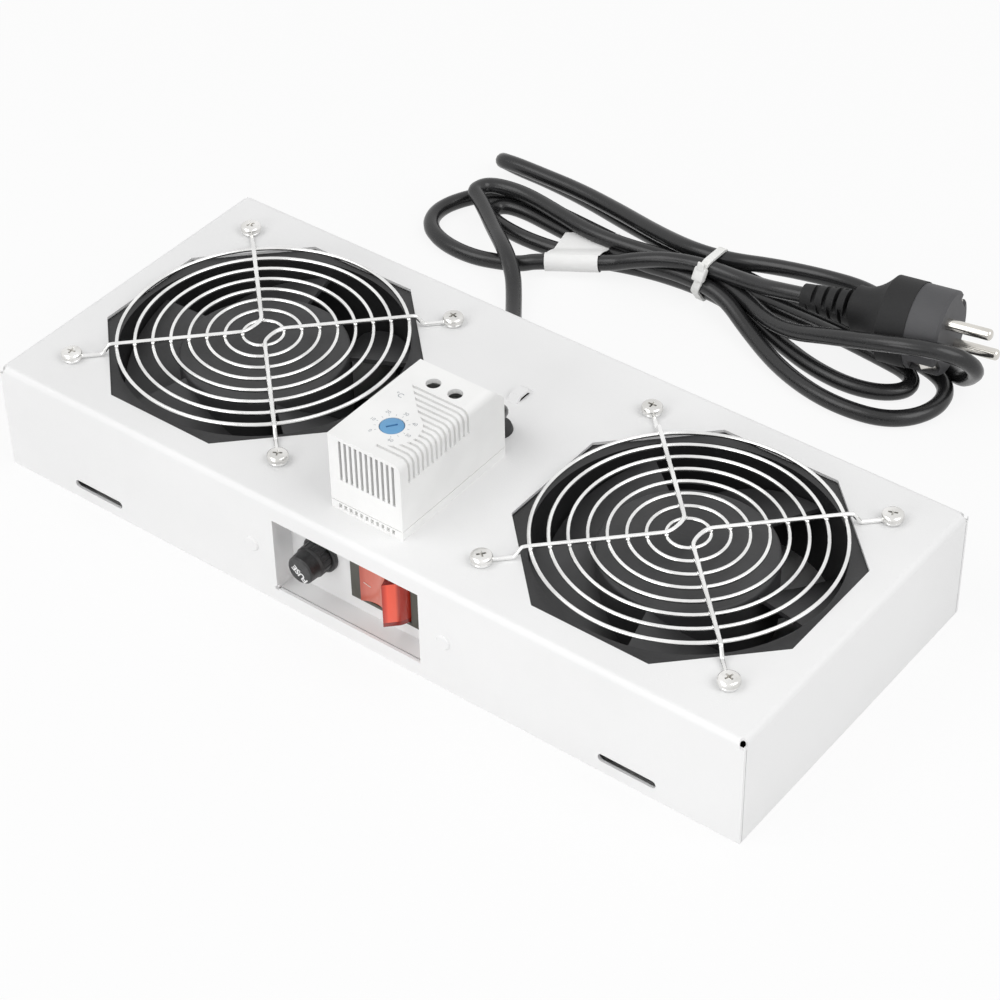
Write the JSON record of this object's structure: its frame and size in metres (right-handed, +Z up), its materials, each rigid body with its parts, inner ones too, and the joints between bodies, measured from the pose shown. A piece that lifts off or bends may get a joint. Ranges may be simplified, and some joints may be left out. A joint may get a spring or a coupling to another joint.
{
  "type": "rack fan tray",
  "caption": "Open-bottomed sheet steel tray for a rack, with guarded axial fans, thermostat, fused and switched control panel and an earthed mains lead.",
  "frame": {"origin": "centre of the tray's footprint, on the surface its bottom rim stands on", "axes": "+X along the tray, -Y towards the control panel, +Z up through the guards"},
  "size_m": [0.344, 0.2988, 0.0822],
  "materials": {
    "grey_powder_coat": "satin",
    "black_plastic": "matte",
    "tinned_brass": "satin",
    "nickel": "polished",
    "fuse_glass": "clear",
    "switch_black": "semi-gloss",
    "rocker_red": "translucent gloss",
    "thermostat_grey": "matte",
    "dial_plastic": "matte",
    "guard_wire": "bright",
    "fan_black": "black coated",
    "lamination": "dull",
    "bearing_steel": "ground",
    "rotor_grey": "matte",
    "terminal_white": "matte",
    "cord_black": "semi-matte",
    "tie_white": "satin",
    "label_white": "paper",
    "plug_grey": "matte"
  },
  "bodies": {
    "tray": {"tray_body": "grey_powder_coat", "control_bracket": "grey_powder_coat", "bracket_rivets": "grey_powder_coat", "fuse_holder_body": "black_plastic", "fuse_holder_nut": "black_plastic", "fuse_tabs": "tinned_brass", "switch_frame": "switch_black", "switch_tabs": "tinned_brass", "thermostat_base": "thermostat_grey", "thermostat_cover": "thermostat_grey", "thermostat_block": "black_plastic", "thermostat_screws": "nickel", "thermostat_lead": "cord_black", "lead_grommet": "cord_black", "guard_left": "guard_wire", "guard_right": "guard_wire", "guard_screws": "nickel", "guard_nuts": "nickel", "fan_frame_left": "fan_black", "fan_frame_right": "fan_black", "fan_stator_left": "lamination", "fan_stator_right": "lamination", "fan_bearings_left": "bearing_steel", "fan_bearings_right": "bearing_steel", "terminal_block": "terminal_white", "earth_stud": "nickel", "earth_nut": "nickel", "inner_leads": "cord_black", "supply_lead": "cord_black", "cord_bushing": "black_plastic", "cord_sleeve": "cord_black", "cord_tube": "cord_black", "cord_hank": "cord_black", "cable_tie": "tie_white", "cord_label": "label_white", "plug_body": "cord_black", "plug_insert": "plug_grey", "plug_pins": "nickel", "plug_clips": "nickel", "plug_relief": "cord_black"},
    "rotor_left": {"fan_rotor_left": "rotor_grey", "fan_shaft_left": "bearing_steel"},
    "rotor_right": {"fan_rotor_right": "rotor_grey", "fan_shaft_right": "bearing_steel"},
    "rocker": {"switch_rocker": "rocker_red"},
    "dial": {"thermostat_dial": "dial_plastic"},
    "fuse_slide": {"fuse_carrier": "tinned_brass", "fuse_end_caps": "nickel", "fuse_glass": "fuse_glass"},
    "fuse_grip": {"fuse_cap": "black_plastic"}
  },
  "joints": [
    {"name": "left_fan_spin", "type": "hinge", "parent": "tray", "child": "rotor_left", "pos_m": [-0.09975, 0, 0.03], "axis": [0, 0, 1], "continuous": true},
    {"name": "right_fan_spin", "type": "hinge", "parent": "tray", "child": "rotor_right", "pos_m": [0.09975, 0, 0.03], "axis": [0, 0, 1], "continuous": true},
    {"name": "rocker_tilt", "type": "hinge", "parent": "tray", "child": "rocker", "pos_m": [0.0123, -0.0615, 0.025], "axis": [0, 0, 1], "range_deg": [0, 44]},
    {"name": "dial_turn", "type": "hinge", "parent": "tray", "child": "dial", "pos_m": [0.0012, -0.0435, 0.08], "axis": [0, 0, 1], "range_deg": [-200, 90]},
    {"name": "fuse_withdraw", "type": "slide", "parent": "tray", "child": "fuse_slide", "axis": [0, -1, 0], "range_m": [0, 0.024]},
    {"name": "cap_turn", "type": "hinge", "parent": "fuse_slide", "child": "fuse_grip", "pos_m": [-0.0194, -0.07, 0.0248], "axis": [0, 1, 0], "range_deg": [0, 90]}
  ]
}
